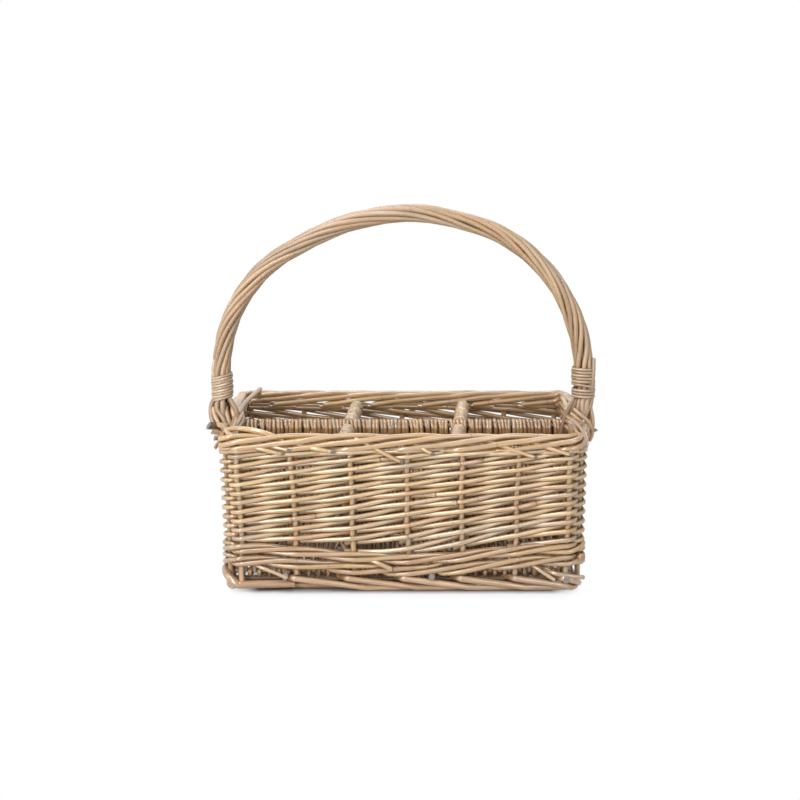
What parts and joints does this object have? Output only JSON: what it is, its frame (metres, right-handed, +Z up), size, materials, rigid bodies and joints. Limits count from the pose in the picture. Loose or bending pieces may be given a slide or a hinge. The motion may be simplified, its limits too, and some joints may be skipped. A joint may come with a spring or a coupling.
{
  "type": "cutlery basket",
  "caption": "Rectangular woven willow cutlery basket with crossing dividers, a rolled border, a foot border and a tall fixed roped hoop handle.",
  "frame": {"origin": "on the surface it stands on, under the middle of the basket", "axes": "+X along the long side, towards the right end; +Y from the front to the back; +Z up"},
  "size_m": [0.336, 0.2042, 0.3148],
  "materials": {
    "stake_willow": "satin",
    "siding_willow": "satin",
    "wale_willow": "satin",
    "foot_willow": "satin",
    "stick_willow": "satin",
    "fine_willow": "satin",
    "rope_willow": "satin",
    "skein_willow": "satin"
  },
  "bodies": {
    "root": {"stake_front_1": "stake_willow", "stake_front_2": "stake_willow", "stake_front_3": "stake_willow", "stake_front_4": "stake_willow", "stake_front_5": "stake_willow", "stake_front_6": "stake_willow", "stake_front_7": "stake_willow", "stake_right_1": "stake_willow", "stake_right_2": "stake_willow", "stake_right_3": "stake_willow", "stake_right_4": "stake_willow", "stake_back_1": "stake_willow", "stake_back_2": "stake_willow", "stake_back_3": "stake_willow", "stake_back_4": "stake_willow", "stake_back_5": "stake_willow", "stake_back_6": "stake_willow", "stake_back_7": "stake_willow", "stake_left_1": "stake_willow", "stake_left_2": "stake_willow", "stake_left_3": "stake_willow", "stake_left_4": "stake_willow", "weaver_1": "siding_willow", "weaver_2": "siding_willow", "weaver_3": "siding_willow", "weaver_4": "siding_willow", "weaver_5": "siding_willow", "weaver_6": "siding_willow", "weaver_7": "siding_willow", "weaver_8": "siding_willow", "wale_rod_1": "wale_willow", "wale_rod_2": "wale_willow", "foot_rod_1": "foot_willow", "foot_rod_2": "foot_willow", "foot_rod_3": "foot_willow", "base_stick_1": "stick_willow", "base_stick_2": "stick_willow", "base_stick_3": "stick_willow", "base_stick_4": "stick_willow", "base_weave": "fine_willow", "handle_bow": "stake_willow", "handle_rope_1": "rope_willow", "handle_rope_2": "rope_willow", "handle_rope_3": "rope_willow", "handle_rope_4": "rope_willow", "handle_rope_5": "rope_willow", "handle_rope_6": "rope_willow", "handle_rope_7": "rope_willow", "handle_rope_8": "rope_willow", "binding_left": "skein_willow", "binding_right": "skein_willow", "long_divider_lower_rail": "stick_willow", "long_divider_upper_rail": "stick_willow", "left_divider_lower_rail": "stick_willow", "left_divider_upper_rail": "stick_willow", "right_divider_lower_rail": "stick_willow", "right_divider_upper_rail": "stick_willow", "long_divider_weave": "fine_willow", "left_divider_weave": "fine_willow", "right_divider_weave": "fine_willow"}
  },
  "joints": []
}
